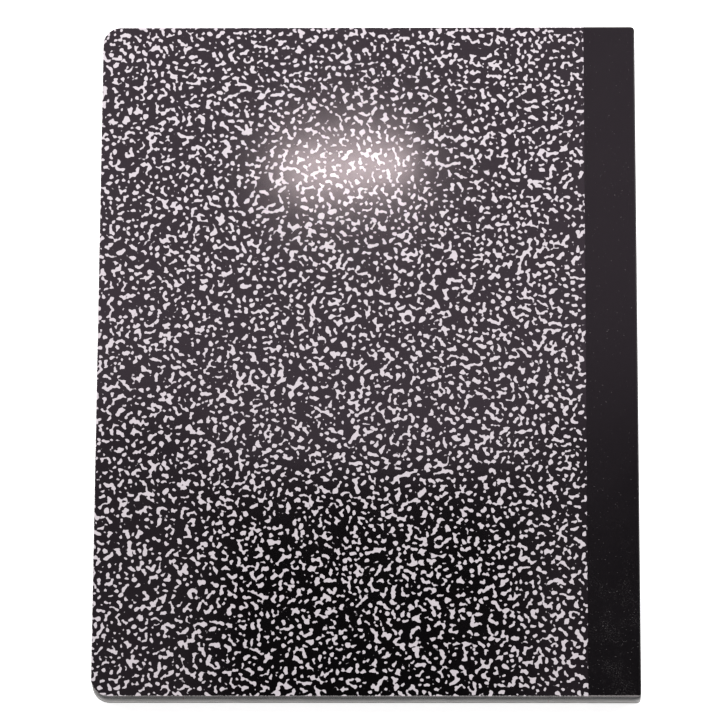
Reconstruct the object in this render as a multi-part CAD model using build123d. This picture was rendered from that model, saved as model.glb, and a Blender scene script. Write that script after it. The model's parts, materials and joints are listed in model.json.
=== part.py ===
from build123d import *
import os

# Composition notebook, lying on its front cover: the spine is towards +X, the head of the
# book towards +Y, and the back cover is on top. The origin is the middle of the footprint,
# on the surface that the book lies on.
#
# The book is made as such books are made. A stack of sheets is folded once and sewn through
# the fold with one thread. A board is laid on each side, and a cloth tape is glued round
# the spine and nipped into the boards, so that it is level with them. Then the whole book is
# trimmed at once, so that every piece ends in the same outline.

# Driving dimensions, in millimetres
book_width = 190.5  # fore edge to spine, 7 1/2 in
book_height = 247.65  # tail to head, 9 3/4 in
fore_corner_radius = 6.35  # the two corners that the corner die cuts, 1/4 in
spine_corner_radius = 1.5  # the two corners at the ends of the spine, only eased
leaf_count = 100
leaf_thickness = 0.08
board_thickness = 0.8
board_end_flat = 0.2  # square part of a board's end at the spine; above it the end is rounded
tape_thickness = 0.2
tape_reach = 18.3  # how far the tape comes over each cover, from the outside of the spine
block_fold_radius = 0.5  # long edges of the folded sheets at the spine
thread_size = 0.5
stitch_length = 8.0
stitch_margin = 12.0  # least distance from the first and last stitch to tail and head

# Clearances, in millimetres
crease_gap = 0.1  # tape left free above and below each turning line
hinge_standoff = 0.15  # turning line outside the tape, so that an open cover clears the spine

# Levels, from the surface up
block_base = board_thickness
block_thickness = leaf_count * leaf_thickness
block_top = block_base + block_thickness
book_thickness = block_top + board_thickness
book_middle = book_thickness / 2
tape_bed = book_thickness - tape_thickness  # where the tape lies in the back cover's board

# Places along X
spine_outside = book_width / 2
spine_inside = spine_outside - tape_thickness
fore_edge = -book_width / 2
tape_edge = spine_outside - tape_reach
hinge_x = spine_outside + hinge_standoff
fold_depth = leaf_count / 2 * leaf_thickness  # spine to the middle opening

# Outer edge of a board along the spine, where the tape turns
board_end_radius = board_thickness - tape_thickness - board_end_flat


def trim_outline():
    """The outline that head, tail, fore edge and all four corners are trimmed to, as a prism."""
    outline = Rectangle(book_width, book_height)
    outline = fillet(outline.vertices().sort_by(Axis.X)[:2], fore_corner_radius)
    outline = fillet(outline.vertices().sort_by(Axis.X)[-2:], spine_corner_radius)
    return extrude(outline, book_thickness)


def trimmed(section):
    """A section in the XZ plane, run from tail to head and trimmed with the rest of the book."""
    run = extrude(section, book_height / 2, both=True)
    return run & trim_outline()


def rounded_corner(section, x, z, radius):
    """The section with its corner at (x, z) rounded."""
    corner = section.vertices().sort_by_distance(Vector(x, 0, z))[0]
    return fillet(corner, radius)


def upright_section(*points):
    """A closed section in the XZ plane through the points (x, z)."""
    return Plane.XZ * make_face(Polyline(*points, close=True))


def upper_board():
    """The board of the back cover: pressed in where the tape lies, and rounded at the spine."""
    section = upright_section(
        (fore_edge, block_top),
        (spine_inside, block_top),
        (spine_inside, tape_bed),
        (tape_edge, tape_bed),
        (tape_edge, book_thickness),
        (fore_edge, book_thickness),
    )
    return trimmed(rounded_corner(section, spine_inside, tape_bed, board_end_radius))


def upper_tape_flap():
    """The tape on the back cover: flat on the board, then down round its end to the crease."""
    crease = block_top + crease_gap
    section = upright_section(
        (tape_edge, tape_bed),
        (spine_inside, tape_bed),
        (spine_inside, crease),
        (spine_outside, crease),
        (spine_outside, book_thickness),
        (tape_edge, book_thickness),
    )
    section = rounded_corner(section, spine_inside, tape_bed, board_end_radius)
    section = rounded_corner(section, spine_outside, book_thickness, board_end_radius + tape_thickness)
    return trimmed(section)


def lower_side(upper):
    """The same piece on the front cover: the book is alike above and below its middle."""
    return mirror(upper, about=Plane.XY.offset(book_middle))


def spine_tape():
    """The middle of the tape, on the folded edge of the sheets, from crease to crease."""
    section = upright_section(
        (spine_inside, block_base + crease_gap),
        (spine_outside, block_base + crease_gap),
        (spine_outside, block_top - crease_gap),
        (spine_inside, block_top - crease_gap),
    )
    return trimmed(section)


def binding_thread():
    """One thread in a running stitch: under the tape, through the fold, along the middle opening."""
    under_tape = spine_inside - thread_size / 2
    in_opening = spine_inside - fold_depth - thread_size / 2
    pairs = int((book_height - 2 * stitch_margin) // (2 * stitch_length))
    stitch_count = 2 * pairs - 1  # odd, so that both ends lie under the tape
    tail_end = -stitch_count * stitch_length / 2
    route = []
    for stitch in range(stitch_count):
        side = under_tape if stitch % 2 == 0 else in_opening
        route.append((side, tail_end + stitch * stitch_length))
        route.append((side, tail_end + (stitch + 1) * stitch_length))
    seam = trace(Polyline(*route), thread_size)
    return Pos(0, 0, book_middle) * extrude(seam, thread_size / 2, both=True)


def page_block(thread):
    """The folded sheets as one block, with the channel that the thread has cut and pressed."""
    section = upright_section(
        (fore_edge, block_base),
        (spine_inside, block_base),
        (spine_inside, block_top),
        (fore_edge, block_top),
    )
    section = rounded_corner(section, spine_inside, block_base, block_fold_radius)
    section = rounded_corner(section, spine_inside, block_top, block_fold_radius)
    return trimmed(section) - thread


def build_nodes():
    """Every piece of the book, by node name."""
    thread = binding_thread()
    back_board = upper_board()
    back_flap = upper_tape_flap()
    return {
        "page_block": page_block(thread),
        "binding_thread": thread,
        "spine_tape": spine_tape(),
        "back_cover_board": back_board,
        "back_tape_flap": back_flap,
        "front_cover_board": lower_side(back_board),
        "front_tape_flap": lower_side(back_flap),
    }


os.makedirs("parts", exist_ok=True)
for name, shape in build_nodes().items():
    export_step(shape, os.path.join("parts", name + ".step"))

print(f"book {book_width} x {book_height} x {book_thickness:.2f} mm")
print(f"hinges at x {hinge_x:.2f}, z {block_base:.2f} (front cover) and {block_top:.2f} (back cover)")
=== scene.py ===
# %% [markdown]
# # A composition notebook
#
# The book is a stack of folded, sewn sheets between two boards, with a black cloth tape
# round its spine. It lies on its front cover, so we look down on the back cover.
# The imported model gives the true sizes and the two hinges. Everything made here is placed
# from it, in metres, in the same frame: the spine is towards +X, the head of the book
# towards +Y and up is +Z.

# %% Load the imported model
import json
import math
import random

import bmesh
import bpy
from mathutils import Matrix, Vector


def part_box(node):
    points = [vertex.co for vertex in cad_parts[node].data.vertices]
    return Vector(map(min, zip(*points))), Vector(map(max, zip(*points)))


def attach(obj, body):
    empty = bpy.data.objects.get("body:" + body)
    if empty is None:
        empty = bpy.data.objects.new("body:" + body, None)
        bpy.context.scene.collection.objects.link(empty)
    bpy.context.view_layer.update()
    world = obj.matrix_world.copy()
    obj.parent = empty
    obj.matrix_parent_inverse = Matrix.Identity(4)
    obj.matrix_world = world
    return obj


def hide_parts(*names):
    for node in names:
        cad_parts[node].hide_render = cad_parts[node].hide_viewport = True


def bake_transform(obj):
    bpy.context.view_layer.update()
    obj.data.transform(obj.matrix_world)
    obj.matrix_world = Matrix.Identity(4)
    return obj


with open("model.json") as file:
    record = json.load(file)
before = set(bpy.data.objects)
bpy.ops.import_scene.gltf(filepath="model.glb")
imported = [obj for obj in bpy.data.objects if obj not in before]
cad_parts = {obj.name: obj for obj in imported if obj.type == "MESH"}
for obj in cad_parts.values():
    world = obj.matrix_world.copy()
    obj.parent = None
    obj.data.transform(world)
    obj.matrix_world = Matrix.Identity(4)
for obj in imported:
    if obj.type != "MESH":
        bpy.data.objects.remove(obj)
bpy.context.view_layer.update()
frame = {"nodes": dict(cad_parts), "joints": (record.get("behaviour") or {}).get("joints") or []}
MM = 0.001

# %% [markdown]
# ## Sizes that the pieces share
#
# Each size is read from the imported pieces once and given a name. On the real book the
# tape is a little proud of the boards, so the boards made here stop just short of the
# model's outside and leave that height to the tape.

# %% Read the sizes
board_low, board_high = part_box("back_cover_board")
block_low, block_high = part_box("page_block")
flap_low, flap_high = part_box("back_tape_flap")
hinges = {joint["name"]: Vector(joint["pos_m"]) for joint in frame["joints"]}

fore_edge = board_low.x
spine = flap_high.x
tail, head = board_low.y, board_high.y
top = flap_high.z
middle = top / 2
tape_edge = flap_low.x
crease = hinges["back_cover_hinge"].z
book_height = head - tail

FORE_CORNER = 6.35 * MM
SPINE_CORNER = 1.5 * MM
CLOTH = 0.12 * MM
TAPE_PROUD = 0.1 * MM
TAPE_TURN = 0.45 * MM
spine_inside = spine - CLOTH
cover_face = top - TAPE_PROUD
book_size = (spine - fore_edge, book_height, top)
print("book, mm:", [round(side / MM, 2) for side in book_size])

# %% [markdown]
# ## Making a piece
#
# A bmesh is a mesh that can be edited by operators, one after another, as in Edit Mode.
# When its shape is done it becomes an object that stays at the origin: its place is in
# its points. Faces are shaded smooth, so that the narrow facets of a rounded corner look
# round, but an edge is kept sharp where the turn is large, or where it bounds a broad face:
# a broad face that took part in the rounding would mirror the lights like a bent one.

# %% A helper that turns a bmesh into a finished object
SOFT_TURN = math.radians(40)
FLAT_TURN = math.radians(2)
BROAD_FACE = 100 * MM * MM


def soften(build):
    """Smooth shading, with sharp edges at large turns and round broad faces."""
    for face in build.faces:
        face.smooth = True
    for edge in build.edges:
        if len(edge.link_faces) == 2:
            broad = max(face.calc_area() for face in edge.link_faces) > BROAD_FACE
            edge.smooth = edge.calc_face_angle() < (FLAT_TURN if broad else SOFT_TURN)


def finished_piece(name, build, *finishes):
    """The bmesh as an object with its materials."""
    soften(build)
    mesh = bpy.data.meshes.new(name)
    build.to_mesh(mesh)
    build.free()
    for finish in finishes:
        mesh.materials.append(finish)
    piece = bpy.data.objects.new(name, mesh)
    bpy.context.scene.collection.objects.link(piece)
    print(name, "faces:", len(mesh.polygons))
    return piece


def round_off(build, edges, radius, steps):
    """Rounds some edges, in a number of steps."""
    bmesh.ops.bevel(
        build, geom=edges, offset=radius, segments=steps, profile=0.5, affect="EDGES", material=-1
    )


def round_corners(build, corners, radius, steps):
    """Rounds some corners of a flat face, in its own plane."""
    bmesh.ops.bevel(
        build, geom=corners, offset=radius, segments=steps, profile=0.5, affect="VERTICES", material=-1
    )


def thicken(build, thickness):
    """Gives an open strip a thickness, on the inner side of its faces."""
    bmesh.ops.recalc_face_normals(build, faces=build.faces)
    if max(build.faces, key=height_of).normal.z < 0:
        bmesh.ops.reverse_faces(build, faces=build.faces)
    bmesh.ops.solidify(build, geom=build.faces[:], thickness=thickness)
    bmesh.ops.recalc_face_normals(build, faces=build.faces)


def height_of(face):
    """The height of the middle of a face."""
    return face.calc_center_median().z


def near(value, target, reach=0.01 * MM):
    """Whether two lengths are the same, give or take a hundredth of a millimetre."""
    return abs(value - target) < reach


# %% [markdown]
# ## Shader sums as plain Python
#
# A material is a graph of nodes. Writing a sum such as `mask * 0.5 + grain` is easier to
# read than wiring Math nodes, so a small class wraps a socket and adds the Math node for
# each sign. It works on numbers only: a Math node would turn a colour grey.

# %% A socket that can be used in sums
class Field:
    """One number that changes over a surface."""

    def __init__(self, socket):
        self.socket = socket

    def math(self, operation, *terms, swap=False):
        tree = self.socket.id_data
        sum_node = tree.nodes.new("ShaderNodeMath")
        sum_node.operation = operation
        terms = (self, *terms)
        for place, term in enumerate(reversed(terms) if swap else terms):
            wire(tree, term, sum_node.inputs[place])
        return Field(sum_node.outputs[0])

    def __add__(self, other):
        return self.math("ADD", other)

    def __sub__(self, other):
        return self.math("SUBTRACT", other)

    def __rsub__(self, other):
        return self.math("SUBTRACT", other, swap=True)

    def __mul__(self, other):
        return self.math("MULTIPLY", other)

    def __truediv__(self, other):
        return self.math("DIVIDE", other)

    def __abs__(self):
        return self.math("ABSOLUTE")

    def __mod__(self, other):
        return self.math("FLOORED_MODULO", other)

    def or_more(self, other):
        return self.math("MAXIMUM", other)

    def or_less(self, other):
        return self.math("MINIMUM", other)

    def root(self):
        return self.math("SQRT")

    __radd__ = __add__
    __rmul__ = __mul__


def wire(tree, value, socket):
    """Gives a socket a link if the value is a field or a socket, and the value itself if not."""
    if isinstance(value, Field):
        value = value.socket
    if isinstance(value, bpy.types.NodeSocket):
        tree.links.new(value, socket)
    else:
        socket.default_value = value


# %% [markdown]
# ## A material in millimetres
#
# Every node comes from one method, `node`, which sets the node's own settings first and
# then gives its sockets a number, a colour or a link. Places are read along the object's
# own axes and turned into millimetres, so that a grain of 0.3 mm is written as 0.3. The
# short methods below it are the few moves that paper, print and cloth all need.

# %% A material with short ways to add its nodes
class Finish:
    """A material under way, measured in millimetres along the object's own axes."""

    def __init__(self, name):
        self.material = bpy.data.materials.new(name)
        self.material.use_nodes = True
        self.tree = self.material.node_tree
        self.tree.nodes.clear()
        axes = self.node("ShaderNodeTexCoord").outputs["Object"]
        self.place = self.scaled(axes, 1 / MM)
        parts = self.node("ShaderNodeSeparateXYZ", sockets={"Vector": self.place}).outputs
        self.x, self.y, self.z = (Field(part) for part in parts)

    def node(self, kind, settings=None, sockets=None):
        """Any node: its settings are set first, then its sockets."""
        made = self.tree.nodes.new(kind)
        for name, value in (settings or {}).items():
            setattr(made, name, value)
        for name, value in (sockets or {}).items():
            wire(self.tree, value, made.inputs[name])
        return made

    def scaled(self, vector, amount):
        """A vector made longer or shorter."""
        sockets = {0: vector, "Scale": amount}
        return self.node("ShaderNodeVectorMath", {"operation": "SCALE"}, sockets).outputs[0]

    def moved(self, vector, step):
        """A vector with another added."""
        sockets = {0: vector, 1: step}
        return self.node("ShaderNodeVectorMath", {"operation": "ADD"}, sockets).outputs[0]

    def stretched(self, vector, along):
        """A vector with a factor of its own along each axis."""
        sockets = {0: vector, 1: along}
        return self.node("ShaderNodeVectorMath", {"operation": "MULTIPLY"}, sockets).outputs[0]

    def noise(self, size, detail=2.0, seed=0.0, along=(1, 1, 1), place=None):
        """Soft random patches about `size` millimetres across, from 0 to 1."""
        here = self.stretched(place or self.place, along)
        away = self.moved(here, (seed, seed * 1.7, seed * 0.6))
        sockets = {"Vector": away, "Scale": 1 / size, "Detail": detail}
        return Field(self.node("ShaderNodeTexNoise", sockets=sockets).outputs["Fac"])

    def wandering(self, place, size, reach, seed):
        """A place pushed about by noise, so that what is drawn there has uneven outlines."""
        sockets = {"Vector": self.moved(place, (seed, seed, seed)), "Scale": 1 / size, "Detail": 1.0}
        drift = self.node("ShaderNodeTexNoise", sockets=sockets).outputs["Color"]
        centred = self.moved(drift, (-0.5, -0.5, -0.5))
        return self.moved(place, self.scaled(centred, 2 * reach))

    def attribute(self, name):
        """A number that the faces carry under a name."""
        return Field(self.node("ShaderNodeAttribute", {"attribute_name": name}).outputs["Fac"])

    def step(self, field, low, high):
        """0 below low, 1 above high, and a soft rise between them."""
        sockets = {"Value": field, "From Min": low, "From Max": high}
        made = self.node("ShaderNodeMapRange", {"interpolation_type": "SMOOTHSTEP"}, sockets)
        return Field(made.outputs["Result"])

    def mix(self, mask, below, above):
        """One colour where the mask is 0, another where it is 1."""
        sockets = {"Factor": mask, 6: below, 7: above}
        made = self.node("ShaderNodeMix", {"data_type": "RGBA", "clamp_factor": True}, sockets)
        return made.outputs[2]

    def bump(self, height, depth, onto=None):
        """A normal from a height field that is worth `depth` millimetres at 1."""
        sockets = {"Height": height, "Strength": 1.0, "Distance": depth * MM}
        if onto:
            sockets["Normal"] = onto
        return self.node("ShaderNodeBump", sockets=sockets).outputs["Normal"]

    def done(self, **sockets):
        """Closes the material with a Principled shader: underscores stand for spaces."""
        named = {name.replace("_", " "): value for name, value in sockets.items()}
        shader = self.node("ShaderNodeBsdfPrincipled", sockets=named)
        self.node("ShaderNodeOutputMaterial", sockets={"Surface": shader.outputs[0]})
        print("finish", self.material.name, "nodes:", len(self.tree.nodes))
        return self.material


# %% [markdown]
# ## The marbled print
#
# The covers are printed with small white chips, worms and specks on black. Gabor noise is
# made of waves of one length but of every direction, so its crests are spots and short
# worms of one width, evenly apart: just the look of this old pattern. We keep only its
# crests, push the outline about with finer noise, and let a slow noise raise and lower the
# crests, so that some chips grow into ragged blobs and others shrink to specks. A pattern
# of small cells, taken away from the crests, gives the chips their pointed ends.

# %% The chips, worms and specks
CHIP_SPACING = 2.8
CHIP_CREST = 0.585
CHIP_EDGE = 0.015
CHIP_SWELL = 3.4
SPLINTER_SIZE = 1.5


def marbled_mask(finish, seed):
    """1 on the white chips, 0 on the black ground."""
    flat = finish.moved(finish.stretched(finish.place, (1, 1, 0)), (seed, -seed, 0))
    ragged = finish.wandering(flat, 1.6, 0.5, 3)
    waves = {"Vector": ragged, "Scale": 1 / CHIP_SPACING, "Frequency": 1.0, "Anisotropy": 0.0}
    gabor = finish.node("ShaderNodeTexGabor", {"gabor_type": "2D"}, waves)
    crests = Field(gabor.outputs["Value"])
    splits = {"Vector": ragged, "Scale": 1 / SPLINTER_SIZE}
    cells = finish.node("ShaderNodeTexVoronoi", {"voronoi_dimensions": "2D"}, splits)
    pointed = Field(cells.outputs["Distance"])
    swell = finish.noise(CHIP_SWELL, 0.0, 5, place=flat)
    height = crests + (swell - 0.5) * 0.32 - (pointed - 0.4) * 0.16
    return finish.step(height, CHIP_CREST - CHIP_EDGE, CHIP_CREST + CHIP_EDGE)


# %% [markdown]
# ## Where a cover rubs
#
# A cover wears along its outline and at its corners, where it slides in and out of a bag.
# The distance in from a rounded outline is a short sum: take the distance past the centre
# of the corner's rounding, in both directions, and compare its length with the radius.
# Reading it from the place alone needs no painted map.

# %% The distance in from the cover's outline


def outline_depth(finish):
    """How far a point lies inside the cover's outline, in millimetres."""
    spine_side = finish.step(finish.x, -1, 1)
    radius = spine_side * ((SPINE_CORNER - FORE_CORNER) / MM) + FORE_CORNER / MM
    half_width = (spine - fore_edge) / 2 / MM
    half_height = book_height / 2 / MM
    past_x = (abs(finish.x) - half_width + radius).or_more(0)
    past_y = (abs(finish.y) - half_height + radius).or_more(0)
    return radius - (past_x * past_x + past_y * past_y).root()


# %% [markdown]
# ## The printed face
#
# The ink lies under a thin gloss film with a faint ripple, which gives a broad, soft shine.
# The chips are pressed in by a hair, a little dust sits on the film, and the film is dull
# where it is smeared or rubbed. Front and back use the same print from another place.

# %% The printed, laminated face of a cover
INK_BLACK = (0.0016, 0.0014, 0.0015, 1)
CHIP_WHITE = (0.575, 0.545, 0.56, 1)
CHIP_WHITE_CLEAN = (0.605, 0.575, 0.59, 1)
RUBBED_WHITE = (0.62, 0.6, 0.59, 1)


def printed_cover(name, seed):
    """Black and white marbled print under a gloss film, rubbed along its edges."""
    finish = Finish(name)
    chips = marbled_mask(finish, seed)
    tone = finish.noise(38, 2, seed + 21)
    white = finish.mix(tone, CHIP_WHITE, CHIP_WHITE_CLEAN)
    ink = finish.mix(chips, INK_BLACK, white)
    inside = outline_depth(finish)
    grit = finish.noise(0.55, 3, seed + 31)
    rubbed = (1 - finish.step(inside + grit * 0.9, 0.42, 0.72)) * 0.75
    dust = finish.step(finish.noise(0.42, 1, seed + 41), 0.80, 0.84) * 0.35
    worn = finish.mix((rubbed + dust).or_less(1.0), ink, RUBBED_WHITE)
    ripple = finish.noise(1.6, 2, seed + 51) * 0.6 + finish.noise(9, 1, seed + 61) * 0.4
    pressed_in = finish.bump(chips, 0.002, finish.bump(ripple, 0.004))
    smear = finish.noise(24, 3, seed + 71)
    return finish.done(
        Base_Color=worn,
        Roughness=0.07 + smear * 0.06 + rubbed * 0.4,
        Normal=pressed_in,
        IOR=1.5,
    )


back_print = printed_cover("marbled_print_back", 0.0)
front_print = printed_cover("marbled_print_front", 57.0)

# %% [markdown]
# ## Board and lining
#
# Where the knife has cut a cover you see its core: grey board, pressed from layers of
# waste paper, so its cut edge has fibres that run along it. The inside is lined with
# plain off-white paper.

# %% The cut edge and the inside of a cover


def grey_board():
    """The cut edge of a board: fine layers with pale and dark fibres."""
    finish = Finish("grey_board_edge")
    layers = finish.noise(0.5, 3, 2, along=(0.08, 0.08, 4))
    fibres = finish.noise(0.25, 2, 5)
    colour = finish.mix(layers, (0.10, 0.096, 0.09, 1), (0.22, 0.212, 0.20, 1))
    colour = finish.mix(finish.step(fibres, 0.62, 0.72) * 0.4, colour, (0.42, 0.40, 0.37, 1))
    dull = finish.bump(layers + fibres, 0.03)
    return finish.done(Base_Color=colour, Roughness=0.9, Normal=dull, Specular_IOR_Level=0.15)


def lining_paper():
    """Plain white paper glued inside a cover, a little uneven where the glue took."""
    finish = Finish("lining_paper")
    clouds = finish.noise(18, 3, 4)
    fibres = finish.noise(0.35, 3, 8)
    colour = finish.mix(clouds, (0.50, 0.49, 0.47, 1), (0.56, 0.55, 0.53, 1))
    colour = finish.mix(finish.step(fibres, 0.66, 0.76) * 0.25, colour, (0.40, 0.39, 0.37, 1))
    height = fibres * 0.5 + finish.noise(6, 2, 12)
    return finish.done(Base_Color=colour, Roughness=0.72, Normal=finish.bump(height, 0.012))


board_edge = grey_board()
lining = lining_paper()

# %% [markdown]
# ## Cover boards
#
# A board is a thin slab with two round corners at the fore edge. The plan is made first,
# as one flat face whose corners are bevelled, because a rounded outline is easiest while
# the shape is flat. Then the face is extruded to the board's thickness, the end at the
# spine is rounded for the tape to turn over, and the cut rims are eased a little.

# %% The plan and the slab
CORNER_STEPS = 16


def rounded_plan(build, x_low, x_high):
    """One flat face with the book's outline, from fore edge to spine, at height 0."""
    bmesh.ops.create_grid(build, x_segments=1, y_segments=1, size=0.5)
    bmesh.ops.scale(build, vec=(x_high - x_low, book_height, 1), verts=build.verts)
    bmesh.ops.translate(build, vec=((x_low + x_high) / 2, 0, 0), verts=build.verts)
    for side, radius in ((x_low, FORE_CORNER), (x_high, SPINE_CORNER)):
        corners = [corner for corner in build.verts if near(corner.co.x, side)]
        round_corners(build, corners, radius, CORNER_STEPS)


def board_slab(inner, outer):
    """The plan, extruded from the board's inner level to its outer one."""
    build = bmesh.new()
    rounded_plan(build, fore_edge, spine_inside)
    raised = bmesh.ops.extrude_face_region(build, geom=build.faces[:])["geom"]
    raised = [part for part in raised if isinstance(part, bmesh.types.BMVert)]
    bmesh.ops.translate(build, vec=(0, 0, outer - inner), verts=raised)
    bmesh.ops.translate(build, vec=(0, 0, inner), verts=build.verts)
    bmesh.ops.recalc_face_normals(build, faces=build.faces)
    return build


# %% [markdown]
# ## Rounding a board and giving its sides their finish
#
# The edges to round are picked by where they lie, not by their numbers, because numbers
# change with every operator. Each face then takes its material from the way it faces: the
# print outwards, the lining inwards and the grey core on the cut sides.

# %% Make both cover boards
PRINT_SIDE, INNER_SIDE, CUT_SIDE = 0, 1, 2
FACING_LEAST = 0.6
UPRIGHT_MOST = 0.5
BOARD_END_ROUND = 0.45 * MM
RIM_EASE = 0.09 * MM


def on_level(edge, level):
    """Whether an edge lies at a height."""
    return all(near(end.co.z, level) for end in edge.verts)


def spine_end_edges(build, outer):
    """The edge of the board's outer face at the spine."""
    return [
        edge
        for edge in build.edges
        if on_level(edge, outer) and all(near(end.co.x, spine_inside) for end in edge.verts)
    ]


def cut_rims(build, inner, outer):
    """The edges round both faces, apart from the end at the spine."""
    return [
        edge
        for edge in build.edges
        if (on_level(edge, outer) or on_level(edge, inner))
        and all(end.co.x < spine_inside - SPINE_CORNER for end in edge.verts)
        and any(abs(face.normal.z) < UPRIGHT_MOST for face in edge.link_faces)
    ]


def side_of(facing):
    """Which side of a board a face is on, from how far it faces outwards."""
    if facing > FACING_LEAST:
        return PRINT_SIDE
    return INNER_SIDE if facing < -FACING_LEAST else CUT_SIDE


def cover_board(name, inner, outer, printed):
    """A board between two levels, with its print on the outer one."""
    build = board_slab(inner, outer)
    round_off(build, spine_end_edges(build, outer), BOARD_END_ROUND, 4)
    round_off(build, cut_rims(build, inner, outer), RIM_EASE, 2)
    outward = 1 if outer > inner else -1
    for face in build.faces:
        face.material_index = side_of(face.normal.z * outward)
    return finished_piece(name, build, printed, lining, board_edge)


back_cover = cover_board("back_cover", crease, cover_face, back_print)
front_cover = cover_board("front_cover", top - crease, top - cover_face, front_print)
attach(back_cover, "back_cover")
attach(front_cover, "front_cover")
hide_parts("back_cover_board")
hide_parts("front_cover_board")

# %% [markdown]
# ## Writing paper
#
# The leaves are plain writing paper. Seen from the side, a hundred cut edges make fine
# lines of slightly different tone, so each face carries its sheet's tone in an attribute,
# and another says whether it is a page or a cut edge.
# The outermost pages show when a cover is opened: they are ruled, with pale blue lines and
# a red margin line, as school paper is.

# %% The paper of the leaves
RULE_SPACING = 8.73
HEAD_MARGIN = 30.0
SIDE_MARGIN = 32.0
RULE_BLUE = (0.10, 0.20, 0.40, 1)
MARGIN_RED = (0.45, 0.09, 0.11, 1)
# The grey of the painted shade on the leaves' cut edges.
PAINTED_SHADE_GREY = (0.05, 0.052, 0.057, 1)


def cut_edges(finish):
    """The colour of the leaves' cut edges: a tone for each sheet, and painted shade."""
    tone = finish.attribute("sheet_tone")
    clean = finish.mix(tone, (0.68, 0.67, 0.655, 1), (0.88, 0.87, 0.85, 1))
    # Painted shade: at the tail the cut edges are darkened, in patches, towards the back cover, and at
    # head, fore edge and spine they are darkened evenly to hold back the lamps' light there.
    height = finish.z + (finish.noise(5, 3, 19) - 0.5) * 1.6
    painted_shade = finish.step(height, 0.2, 7.2) * finish.step(finish.noise(0.9, 3, 23), -0.2, 0.5)
    tail_side = 1 - finish.step(finish.y, tail / MM + 0.5, tail / MM + 6)
    painted_shade_amount = painted_shade * (tail_side * 0.82 + 0.1) + (1 - tail_side) * 0.42
    return finish.mix(painted_shade_amount, clean, PAINTED_SHADE_GREY)


def rule_lines(finish):
    """1 on the lines across the page, which start below the head margin."""
    from_head = head / MM - HEAD_MARGIN - finish.y
    line = abs((from_head % RULE_SPACING) - RULE_SPACING / 2)
    rules = finish.step(line, RULE_SPACING / 2 - 0.28, RULE_SPACING / 2 - 0.12)
    return rules * finish.step(from_head, -0.4, -0.3)


def margin_line(finish):
    """1 on the line down each page, at the left as one reads it."""
    upper = finish.step(finish.z, middle / MM - 0.1, middle / MM + 0.1)
    left_edge = upper * (fore_edge / MM + SIDE_MARGIN) + (1 - upper) * (spine / MM - SIDE_MARGIN)
    return 1 - finish.step(abs(finish.x - left_edge), 0.12, 0.28)


def writing_paper():
    """Off-white paper, ruled on the two pages that face the covers."""
    finish = Finish("writing_paper")
    clouds = finish.noise(30, 2, 3)
    fibres = finish.noise(0.3, 3, 6)
    paper = finish.mix(clouds, (0.56, 0.55, 0.52, 1), (0.60, 0.59, 0.565, 1))
    page = finish.attribute("page_face")
    colour = finish.mix(page, cut_edges(finish), paper)
    faded = finish.noise(1.1, 2, 14) * 0.4 + 0.6
    colour = finish.mix(rule_lines(finish) * page * faded, colour, RULE_BLUE)
    colour = finish.mix(margin_line(finish) * page * faded, colour, MARGIN_RED)
    return finish.done(
        Base_Color=colour,
        Roughness=0.86,
        Normal=finish.bump(fibres, 0.010),
        Specular_IOR_Level=0.1,
    )


paper = writing_paper()

# %% [markdown]
# ## The folded sheets
#
# A hundred leaves are fifty sheets, each folded once and nested in the one before.
# Modelling them as fifty folded strips, and not as one block, gives the real lines at head,
# tail and fore edge, and the nested folds beside the spine. Each strip starts as three
# edges: the upper leaf, the fold and the lower leaf. They are pulled along the book's
# height, the two bends are bevelled round, rounder towards the middle of the stack, and
# the corners at the fore edge are rounded. Then the strip is given the thickness of paper.
# The knife leaves the leaves not quite even, so each one is a few hundredths of a
# millimetre long or short.

# %% Fold one sheet
SHEETS = 50
PAPER_SHARE = 0.88
OUTER_BEND = 0.5 * MM
BEND_GROWTH = 0.4
BEND_MOST = 0.98
CHAMFER_ANGLES = (22.5, 45, 67.5)
UNEVEN_FORE_EDGE = 0.05
UNEVEN_TAIL = 0.04
chance = random.Random(11)
sheet_pitch = (block_high.z - block_low.z) / (2 * SHEETS)
sheet_thickness = sheet_pitch * PAPER_SHARE
print("sheet pitch, mm:", round(sheet_pitch / MM, 4))


def chamfer_spine_corners(build):
    """Cuts the two corners at the ends of the spine along tangents of their rounding."""
    centre_x = spine - SPINE_CORNER
    for end in (-1, 1):
        centre_y = end * (book_height / 2 - SPINE_CORNER)
        for angle in CHAMFER_ANGLES:
            outward = Vector((math.cos(math.radians(angle)), end * math.sin(math.radians(angle)), 0))
            touch = Vector((centre_x, centre_y, 0)) + outward * SPINE_CORNER
            bmesh.ops.bisect_plane(
                build,
                geom=build.verts[:] + build.edges[:] + build.faces[:],
                plane_co=touch,
                plane_no=outward,
                clear_outer=True,
            )


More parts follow.
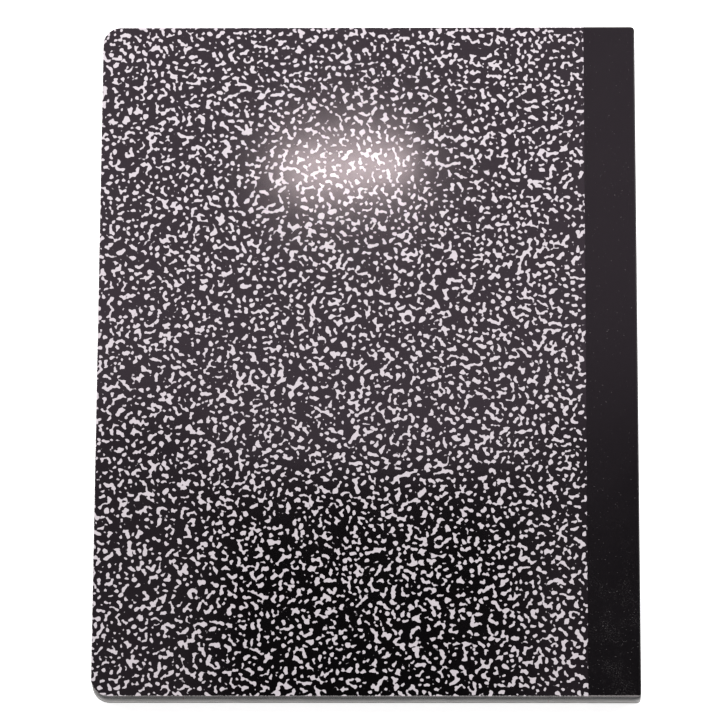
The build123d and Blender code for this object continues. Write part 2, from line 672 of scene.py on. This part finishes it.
def folded_sheet(number):
    """One sheet of two leaves, folded at the spine, as a flat strip with no thickness."""
    build = bmesh.new()
    inset = number * sheet_pitch + (sheet_pitch - sheet_thickness) / 2
    fold_x = spine_inside - inset
    rise = middle - block_low.z - inset
    cut = fore_edge + chance.uniform(0.0, UNEVEN_FORE_EDGE) * MM
    cut_lower = fore_edge + chance.uniform(0.0, UNEVEN_FORE_EDGE) * MM
    slip = chance.uniform(0.0, UNEVEN_TAIL) * MM
    route = [(cut, rise), (fold_x, rise), (fold_x, -rise), (cut_lower, -rise)]
    points = [build.verts.new((x, tail + slip, middle + z)) for x, z in route]
    edges = [build.edges.new(pair) for pair in zip(points, points[1:])]
    pulled = bmesh.ops.extrude_edge_only(build, edges=edges)["geom"]
    far_side = [part for part in pulled if isinstance(part, bmesh.types.BMVert)]
    bmesh.ops.translate(build, vec=(0, book_height - UNEVEN_TAIL * MM, 0), verts=far_side)
    bends = [edge for edge in build.edges if len(edge.link_faces) == 2]
    round_off(build, bends, min(OUTER_BEND + BEND_GROWTH * inset, rise * BEND_MOST), 4)
    corners = [point for point in build.verts if point.co.x < fore_edge + MM]
    round_corners(build, corners, FORE_CORNER, 8)
    chamfer_spine_corners(build)
    thicken(build, sheet_thickness)
    return build


# %% [markdown]
# ## Nesting the sheets
#
# All fifty go into one mesh, because they are one block that is sewn and never comes
# apart. The tone drifts slowly from sheet to sheet, as it does where a knife has gone
# through a stack, with a small jump at every leaf.

# %% Nest the sheets
TONE_DRIFT = 0.16
TONE_JUMP = 0.2
PAGE_FACING = 0.92


def nested_sheets():
    """All the sheets in one mesh, each with its own tone."""
    stack = bmesh.new()
    tone = stack.faces.layers.float.new("sheet_tone")
    page = stack.faces.layers.float.new("page_face")
    drift = 0.5
    for number in range(SHEETS):
        strip = folded_sheet(number)
        drift = min(max(drift + chance.uniform(-TONE_DRIFT, TONE_DRIFT), 0.2), 0.8)
        mesh = bpy.data.meshes.new("strip")
        strip.to_mesh(mesh)
        strip.free()
        already = len(stack.faces)
        stack.from_mesh(mesh)
        bpy.data.meshes.remove(mesh)
        stack.faces.ensure_lookup_table()
        for face in stack.faces[already:]:
            face[tone] = min(max(drift + chance.uniform(-TONE_JUMP, TONE_JUMP), 0.0), 1.0)
            face[page] = float(abs(face.normal.z) > PAGE_FACING)
    return stack


folded_sheets = finished_piece("folded_sheets", nested_sheets(), paper)
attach(folded_sheets, "page_block")
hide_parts("page_block")

# %% [markdown]
# ## Spine cloth
#
# The tape is thin cotton with a black coating that fills the weave, so it looks like a
# fine grain with a low sheen. It rubs grey along the edges of the spine and at its ends,
# and pale dust sits in the grain.

# %% The coated cloth of the tape
THREAD_SIZE = 0.34
DUSTY_REACH = 90
DUST = (0.5, 0.48, 0.47, 1)
BARE_CLOTH = (0.34, 0.32, 0.31, 1)


def tape_dust(finish, tail_end):
    """How much dust covers the cloth: single specks, and powder that drifts to the tail."""
    drifts = finish.step(finish.noise(7, 3, 13), 0.42, 0.62)
    powder = finish.step(finish.noise(0.36, 2, 15), 0.5, 0.75) * (tail_end * drifts * 0.92 + 0.08)
    specks = finish.step(finish.noise(0.5, 1, 17) + tail_end * 0.03, 0.745, 0.80)
    return (specks * 0.2 + powder * 0.06).or_less(1.0)


def tape_wear(finish, tail_end):
    """How bare the cloth is rubbed, along the spine's two edges and at the tape's ends."""
    side_height = abs(finish.z - middle / MM) - (top - middle - TAPE_TURN) / MM
    corner = finish.step(finish.x, (spine - TAPE_TURN) / MM, spine / MM)
    corner = corner * finish.step(side_height, -0.3, 0.1)
    rub = corner * finish.step(finish.noise(2.6, 5, 23), 0.50, 0.64)
    to_end = book_height / 2 / MM - abs(finish.y)
    ends = 1 - finish.step(to_end + finish.noise(0.5, 3, 29) * 0.6, 0.42, 0.75)
    ends = ends * (tail_end * 0.55 + 0.15)
    return (rub * 0.16 + ends).or_less(1.0)


def spine_cloth():
    """Black coated cloth: a fine grain, pale dust, and grey rubbing on the spine's edges."""
    finish = Finish("spine_cloth")
    across = finish.noise(THREAD_SIZE, 2, 3, along=(1, 0.45, 1))
    lengthwise = finish.noise(THREAD_SIZE, 2, 7, along=(0.45, 1, 1))
    clouds = finish.noise(14, 3, 11)
    black = finish.mix(clouds, (0.0010, 0.0010, 0.0011, 1), (0.0022, 0.0021, 0.0023, 1))
    tail_end = 1 - finish.step(finish.y, tail / MM, tail / MM + DUSTY_REACH)
    colour = finish.mix(tape_dust(finish, tail_end), black, DUST)
    colour = finish.mix(tape_wear(finish, tail_end), colour, BARE_CLOTH)
    wrinkles = finish.noise(0.9, 2, 37, along=(1, 0.12, 1))
    wrinkles = wrinkles * finish.step(finish.x, spine / MM - 3, spine / MM)
    height = across * 0.5 + lengthwise * 0.5 + wrinkles * 0.6
    return finish.done(
        Base_Color=colour,
        Roughness=0.155 + clouds * 0.04,
        Normal=finish.bump(height, 0.008),
        IOR=1.36,
    )


cloth = spine_cloth()

# %% [markdown]
# ## The tape
#
# One strip of cloth is glued round the spine and over the edges of both covers, and it is
# the hinge of both. Here it is made in two halves that meet in the middle of the spine,
# because each half has to bend between the pages and one cover. The section is three
# points: middle of the spine, corner, and the edge on the cover. It is pulled along the
# book, its corner is rounded, and it is cut across in the crease so that it can bend there.
# It is thickened inwards from its outside.

# %% Make one half of the tape
CREASE_CUTS = 9
CREASE_BELOW = 0.5 * MM
CREASE_ABOVE = 0.25 * MM
LENGTH_CUTS = 30


def cut_across(build, point, normal):
    """Cuts every face on a plane and keeps both sides."""
    geometry = build.verts[:] + build.edges[:] + build.faces[:]
    bmesh.ops.bisect_plane(build, geom=geometry, plane_co=point, plane_no=normal)


def half_tape():
    """The tape on the back cover's side, as a strip with its faces outwards."""
    build = bmesh.new()
    route = [(spine, middle), (spine, top), (tape_edge, top)]
    points = [build.verts.new((x, tail, z)) for x, z in route]
    edges = [build.edges.new(pair) for pair in zip(points, points[1:])]
    pulled = bmesh.ops.extrude_edge_only(build, edges=edges)["geom"]
    far_side = [part for part in pulled if isinstance(part, bmesh.types.BMVert)]
    bmesh.ops.translate(build, vec=(0, book_height, 0), verts=far_side)
    corner = [edge for edge in build.edges if len(edge.link_faces) == 2]
    round_off(build, corner, TAPE_TURN, 6)
    for cut in range(CREASE_CUTS + 1):
        level = crease - CREASE_BELOW + (CREASE_BELOW + CREASE_ABOVE) * cut / CREASE_CUTS
        cut_across(build, (0, 0, level), (0, 0, 1))
    for cut in range(1, LENGTH_CUTS):
        cut_across(build, (0, tail + book_height * cut / LENGTH_CUTS, 0), (0, 1, 0))
    chamfer_spine_corners(build)
    thicken(build, CLOTH)
    return build


# %% [markdown]
# ## The two halves of the tape
#
# On the book, a half rides on the pages below the crease and on its cover above it, and
# turns in between: that is the hinge. The second half is the first one mirrored at the
# middle of the spine, and its faces are turned back outwards after the mirror.


def tape_piece(name, build, cad_nodes):
    """A half of the tape with its thickness, in the cloth finish, in place of the imported pieces that
    it hides.
    """
    piece = finished_piece(name, build, cloth)
    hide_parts(*cad_nodes)
    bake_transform(piece)
    return piece


upper_half = half_tape()
lower_half = upper_half.copy()
bmesh.ops.translate(lower_half, vec=(0, 0, -middle), verts=lower_half.verts)
bmesh.ops.scale(lower_half, vec=(1, 1, -1), verts=lower_half.verts)
bmesh.ops.translate(lower_half, vec=(0, 0, middle), verts=lower_half.verts)
bmesh.ops.reverse_faces(lower_half, faces=lower_half.faces)
tape_piece(
    "back_tape",
    upper_half,
    cad_nodes=["spine_tape", "back_tape_flap"],
)
tape_piece(
    "front_tape",
    lower_half,
    cad_nodes=["front_tape_flap"],
)

# %% [markdown]
# ## Thread
#
# The sewing is hidden between tape and sheets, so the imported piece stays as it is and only
# gets the finish of white cotton, with the slant of its twist.

# %% Give the thread its cotton
TWIST_PITCH = 0.6


def cotton_thread():
    """White cotton, with a fine slanting twist whose grooves are painted darker as shade."""
    finish = Finish("cotton_thread")
    slant = finish.noise(0.25, 2, 5)
    ply = (finish.y + finish.z + slant * 0.2) % TWIST_PITCH
    twist_bump_and_shade = abs(ply - TWIST_PITCH / 2) / (TWIST_PITCH / 2)
    # Painted shade: the grooves between the plies are coloured darker than their crests.
    colour = finish.mix(twist_bump_and_shade, (0.62, 0.6, 0.54, 1), (0.82, 0.8, 0.74, 1))
    return finish.done(Base_Color=colour, Roughness=0.8, Normal=finish.bump(twist_bump_and_shade, 0.04))


thread_mesh = frame["nodes"]["binding_thread"].data
thread_mesh.materials.clear()
thread_mesh.materials.append(cotton_thread())

# %% [markdown]
# ## Camera
#
# The camera looks down on the back cover from above the tail, eighteen degrees from
# straight above, and from far away through a long lens, so that the far edge is only a
# little shorter than the near one.

# %% Place the camera
CAMERA_TILT = math.radians(17.98)
CAMERA_TURN = math.radians(3.2)
CAMERA_ROLL = math.radians(-3.08)
CAMERA_DISTANCE = 2.0346
SENSOR = 36.0
LENS = 288.85
aim = Vector((-2.54 * MM, -1.67 * MM, top))

gaze = Matrix.Rotation(CAMERA_TURN, 4, "Z") @ Matrix.Rotation(CAMERA_TILT, 4, "X")
gaze = gaze @ Matrix.Rotation(CAMERA_ROLL, 4, "Z")
camera = bpy.data.objects.new("camera", bpy.data.cameras.new("camera"))
bpy.context.scene.collection.objects.link(camera)
camera.matrix_world = Matrix.Translation(aim + gaze @ Vector((0, 0, CAMERA_DISTANCE))) @ gaze
camera.data.sensor_width = SENSOR
camera.data.lens = LENS
camera.data.clip_start = 0.01
bpy.context.scene.camera = camera
print("camera at, m:", [round(c, 3) for c in camera.matrix_world.translation])

# %% [markdown]
# ## Floor
#
# The book lies on a wide, pale, matt table that glows a little, like a light table. The
# glow keeps the shadow round the book faint and the table evenly white.

# %% The table
FLOOR_HALF = 8.0


def studio_floor():
    """A pale, matt light table under the book: its own glow keeps the shadows faint."""
    build = bmesh.new()
    bmesh.ops.create_grid(build, x_segments=1, y_segments=1, size=FLOOR_HALF)
    finish = Finish("pale_floor")
    clouds = finish.noise(60, 2, 1)
    pale = finish.mix(clouds, (0.86, 0.86, 0.86, 1), (0.90, 0.90, 0.90, 1))
    glow = {"Emission_Color": (1, 1, 1, 1), "Emission_Strength": 0.85}
    return finished_piece("studio_floor", build, finish.done(Base_Color=pale, Roughness=0.9, **glow))


studio_floor()

# %% [markdown]
# ## Light
#
# Two soft boxes beyond the head of the book, left and right, light the white chips and
# the table; they stand where the glossy cover mirrors them away from the camera. What the
# cover does mirror is set by five panels overhead: three of one brightness side by side
# for the upper part, and two dim ones for the lower corners, with a dark gap between them.
# A small bright box gives the shine. Each panel is placed by mirroring the line of sight
# at two chosen points of the cover.

# %% Lights that are placed by what the cover mirrors
PANEL_HEIGHT = 1.0
PANEL_TINT = (1.0, 0.77, 0.95)


def light_box(name, place, target, size, glow, tint=(1, 1, 1)):
    """A soft rectangular light that looks at a target; its glow is its brightness."""
    lamp = bpy.data.lights.new(name, "AREA")
    lamp.shape = "RECTANGLE"
    lamp.size, lamp.size_y = size
    lamp.energy = glow * math.pi * size[0] * size[1]
    lamp.color = tint
    box = bpy.data.objects.new(name, lamp)
    bpy.context.scene.collection.objects.link(box)
    turn = (target - place).to_track_quat("-Z", "Y").to_matrix().to_4x4()
    box.matrix_world = Matrix.Translation(place) @ turn
    print(name, "power, W:", round(lamp.energy, 2))
    return box


def seen_in_cover(x, y, height):
    """The place at a height above the cover that the camera sees mirrored at a point of it."""
    point = Vector((x * MM, y * MM, top))
    sight = point - camera.matrix_world.translation
    return point + Vector((sight.x, sight.y, -sight.z)) * (height / -sight.z)


def overhead_panel(name, near_left, far_right, glow):
    """A level panel that covers the mirrored sight between two points of the cover."""
    low = seen_in_cover(*near_left, PANEL_HEIGHT)
    high = seen_in_cover(*far_right, PANEL_HEIGHT)
    size = (high.x - low.x, high.y - low.y)
    place = (low + high) / 2
    return light_box(name, place, place - Vector((0, 0, 1)), size, glow, PANEL_TINT)


# %% [markdown]
# ## Setting the lights
#
# Places on the cover are in millimetres from its middle. The panels meet along two lines
# down the cover, `GAP_LEFT` and `GAP_RIGHT`, and the dark gap between the lower ones lies
# there too. The outer ends are far past the cover, so that no edge of a panel shows in it,
# apart from the lower right one, which stops short of the spine and leaves the tape dark.
# The shine sits in the upper part, where one sees the film gleam. The world adds only a
# trace of light, for the deepest shadows.

# %% The panels, the shine and the keys
UPPER_GLOW, LOWER_LEFT_GLOW, LOWER_RIGHT_GLOW = 1.12, 0.40, 0.48
GAP_LEFT, GAP_RIGHT = -57, 58
MIDDLE_START, SIDE_START = -42, -20
FAR_OUT, BELOW_TAIL, LOWER_RIGHT_END = 560, -300, 84
SHINE_X, SHINE_Y, SHINE_HEIGHT = -8, 71, 0.8
SHINE_SIZE, SHINE_GLOW, SHINE_TINT = (0.062, 0.012), 43, (1.0, 0.83, 0.85)
KEY_SIZE, KEY_GLOW = (1.3, 0.7), 6.1
KEY_OUT, KEY_BEYOND, KEY_UP = 0.75, 0.7, 0.95
WORLD_GLOW = 0.02

overhead_panel("upper_panel", (GAP_LEFT, MIDDLE_START), (GAP_RIGHT, FAR_OUT), UPPER_GLOW)
overhead_panel("upper_left_panel", (-FAR_OUT, SIDE_START), (GAP_LEFT, FAR_OUT), UPPER_GLOW)
overhead_panel("upper_right_panel", (GAP_RIGHT, SIDE_START), (FAR_OUT, FAR_OUT), UPPER_GLOW)
overhead_panel("lower_left_panel", (-FAR_OUT, BELOW_TAIL), (GAP_LEFT, SIDE_START), LOWER_LEFT_GLOW)
overhead_panel(
    "lower_right_panel", (GAP_RIGHT, BELOW_TAIL), (LOWER_RIGHT_END, SIDE_START), LOWER_RIGHT_GLOW
)
shine_place = seen_in_cover(SHINE_X, SHINE_Y, SHINE_HEIGHT)
shine_target = Vector((SHINE_X * MM, SHINE_Y * MM, top))
light_box("shine_box", shine_place, shine_target, SHINE_SIZE, SHINE_GLOW, SHINE_TINT)
for side in (-1, 1):
    key_place = Vector((side * KEY_OUT, KEY_BEYOND, KEY_UP))
    light_box("key_box", key_place, Vector((0, 0, 0)), KEY_SIZE, KEY_GLOW)

world = bpy.data.worlds.new("studio")
bpy.context.scene.world = world
world.use_nodes = True
background = world.node_tree.nodes["Background"]
background.inputs["Color"].default_value = (1, 1, 1, 1)
background.inputs["Strength"].default_value = WORLD_GLOW
bpy.context.scene.view_settings.view_transform = "Standard"
